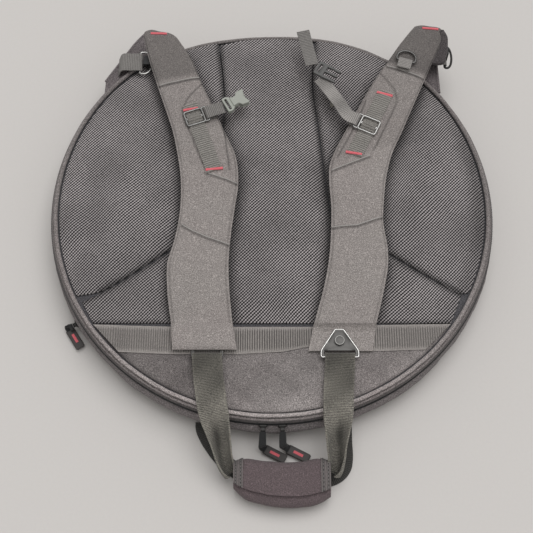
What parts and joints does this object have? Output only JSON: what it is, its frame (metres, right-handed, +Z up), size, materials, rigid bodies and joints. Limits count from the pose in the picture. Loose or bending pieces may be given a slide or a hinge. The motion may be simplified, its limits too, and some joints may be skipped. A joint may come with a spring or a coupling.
{
  "type": "cymbal bag",
  "caption": "Round padded cymbal bag lying on its front, with mesh back padding, two shoulder straps, belt, zips and a wrap-grip carry handle.",
  "frame": {"origin": "middle of the flat front face, which rests on the floor", "axes": "+Z up through the bag to its back face, -Y towards the carry handle, +Y towards the folded strap ends"},
  "size_m": [0.595, 0.6737, 0.1041],
  "materials": {
    "mesh": "open air mesh",
    "body_fabric": "woven polyester",
    "dark_fabric": "woven polyester",
    "lining": "soft lining over foam",
    "webbing": "ribbed webbing",
    "zip": "coil zip tape",
    "nylon": "moulded",
    "buckle": "moulded",
    "steel": "plated"
  },
  "bodies": {
    "case": {"front_panel": "body_fabric", "front_piping": "dark_fabric", "pocket_gusset": "dark_fabric", "pocket_wall": "lining", "main_gusset": "dark_fabric", "zip_tape_lower": "zip", "hinge_gusset": "dark_fabric"},
    "page_one": {"page_one": "lining"},
    "page_two": {"page_two": "lining"},
    "lid": {"zip_tape_upper": "zip", "upper_gusset": "body_fabric", "back_piping": "body_fabric", "back_board": "lining", "centre_pad": "mesh", "left_pad": "mesh", "right_pad": "mesh", "left_lower_mesh": "mesh", "right_lower_mesh": "mesh", "lower_panel": "body_fabric", "back_belt": "webbing", "left_wing": "body_fabric", "right_wing": "body_fabric", "left_anchor_tab": "webbing", "right_anchor_tab": "webbing", "left_strap_end": "body_fabric", "right_strap_end": "body_fabric", "left_plate": "steel", "right_plate": "steel", "rivet": "steel"},
    "left_anchor_ring": {"left_anchor_ring": "steel"},
    "right_anchor_ring": {"right_anchor_ring": "steel"},
    "left_strap": {"left_strap": "body_fabric", "left_hook": "nylon", "left_ladder": "webbing"},
    "right_strap": {"right_strap": "body_fabric", "right_hook": "nylon", "right_ladder": "webbing", "strap_ring_tab": "webbing"},
    "strap_ring": {"strap_ring": "steel"},
    "left_slider": {"left_slider": "nylon"},
    "right_slider": {"right_slider": "nylon"},
    "left_chest": {"left_chest_webbing": "webbing", "female_buckle": "buckle"},
    "right_chest": {"right_chest_webbing": "webbing", "male_buckle": "nylon"},
    "chest_tail": {"chest_tail": "webbing"},
    "handle": {"left_handle_leg": "webbing", "right_handle_leg": "webbing", "grip": "dark_fabric"},
    "grip_flap": {"grip_flap": "body_fabric"},
    "front_handle": {"front_handle": "webbing"},
    "main_left_slider": {"main_left_slider": "steel"},
    "main_left_pull": {"main_left_pull": "dark_fabric"},
    "main_right_slider": {"main_right_slider": "steel"},
    "main_right_pull": {"main_right_pull": "dark_fabric"},
    "pocket_slider": {"pocket_slider": "steel"},
    "pocket_pull": {"pocket_pull": "dark_fabric"}
  },
  "joints": [
    {"name": "lid_open", "type": "hinge", "parent": "case", "child": "lid", "pos_m": [0, 0.285, 0.045], "axis": [-1, 0, 0], "range_deg": [0, 170]},
    {"name": "page_one_turn", "type": "hinge", "parent": "case", "child": "page_one", "pos_m": [0, 0.264, 0.0188], "axis": [-1, 0, 0], "range_deg": [0, 34]},
    {"name": "page_two_turn", "type": "hinge", "parent": "case", "child": "page_two", "pos_m": [0, 0.264, 0.0221], "axis": [-1, 0, 0], "range_deg": [0, 68]},
    {"name": "left_strap_lift", "type": "hinge", "parent": "lid", "child": "left_strap", "pos_m": [0, -0.17026, 0.07], "axis": [1, 0, 0], "range_deg": [0, 65]},
    {"name": "right_strap_lift", "type": "hinge", "parent": "lid", "child": "right_strap", "pos_m": [0, -0.17026, 0.07], "axis": [1, 0, 0], "range_deg": [0, 65]},
    {"name": "left_slider_slide", "type": "slide", "parent": "left_strap", "child": "left_slider", "axis": [0.3335, -0.9427, 0], "range_m": [-0.008, 0.068]},
    {"name": "right_slider_slide", "type": "slide", "parent": "right_strap", "child": "right_slider", "axis": [-0.4325, -0.9016, 0], "range_m": [-0.04, 0.03]},
    {"name": "left_chest_turn", "type": "hinge", "parent": "left_slider", "child": "left_chest", "pos_m": [-0.08693, 0.12679, 0.0835], "axis": [0.3335, -0.9427, 0], "range_deg": [0, 100]},
    {"name": "right_chest_turn", "type": "hinge", "parent": "right_slider", "child": "right_chest", "pos_m": [0.11443, 0.11618, 0.0835], "axis": [0.4325, 0.9016, 0], "range_deg": [0, 100]},
    {"name": "chest_tail_turn", "type": "hinge", "parent": "right_chest", "child": "chest_tail", "pos_m": [0.05563, 0.19998, 0.0894], "axis": [0.9744, 0.225, 0], "range_deg": [0, 100]},
    {"name": "strap_ring_flip", "type": "hinge", "parent": "right_strap", "child": "strap_ring", "pos_m": [0.18503, 0.20803, 0.08676], "axis": [0.9563, -0.2924, 0], "range_deg": [0, 150]},
    {"name": "left_anchor_tilt", "type": "hinge", "parent": "lid", "child": "left_anchor_ring", "pos_m": [-0.18403, 0.21797, 0.0658], "axis": [0, -1, 0], "range_deg": [0, 12]},
    {"name": "right_anchor_tilt", "type": "hinge", "parent": "lid", "child": "right_anchor_ring", "pos_m": [0.24396, 0.23302, 0.0574], "axis": [0, -1, 0], "range_deg": [0, 12]},
    {"name": "handle_lift", "type": "hinge", "parent": "lid", "child": "handle", "pos_m": [0, -0.21141, 0.063], "axis": [-1, 0, 0], "range_deg": [0, 85]},
    {"name": "flap_open", "type": "hinge", "parent": "handle", "child": "grip_flap", "pos_m": [0, -0.3347, 0.0195], "axis": [-1, 0, 0], "range_deg": [0, 65]},
    {"name": "front_handle_lift", "type": "hinge", "parent": "case", "child": "front_handle", "pos_m": [0, -0.2811, 0.0015], "axis": [-1, 0, 0], "range_deg": [0, 42.5]},
    {"name": "main_left_travel", "type": "hinge", "parent": "case", "child": "main_left_slider", "pos_m": [0, 0, 0.045], "axis": [0, 0, 1], "range_deg": [-120, 0]},
    {"name": "main_right_travel", "type": "hinge", "parent": "case", "child": "main_right_slider", "pos_m": [0, 0, 0.045], "axis": [0, 0, 1], "range_deg": [0, 120]},
    {"name": "pocket_travel", "type": "hinge", "parent": "case", "child": "pocket_slider", "pos_m": [0, 0, 0.015], "axis": [0, 0, 1], "range_deg": [-35, 30]},
    {"name": "main_left_pull_turn", "type": "hinge", "parent": "main_left_slider", "child": "main_left_pull", "pos_m": [-0.01172, -0.30498, 0.045], "axis": [0, 0, 1], "range_deg": [-70, 0]},
    {"name": "main_right_pull_turn", "type": "hinge", "parent": "main_right_slider", "child": "main_right_pull", "pos_m": [0.01278, -0.30493, 0.045], "axis": [0, 0, 1], "range_deg": [0, 30]},
    {"name": "pocket_pull_turn", "type": "hinge", "parent": "pocket_slider", "child": "pocket_pull", "pos_m": [-0.26227, -0.1551, 0.015], "axis": [0, 0, 1], "range_deg": [-50, 0]}
  ],
  "couplings": [
    {"joint": "page_one_turn", "follows": "lid_open", "ratio": 0.2},
    {"joint": "page_two_turn", "follows": "lid_open", "ratio": 0.4},
    {"joint": "front_handle_lift", "follows": "handle_lift", "ratio": 0.5}
  ]
}
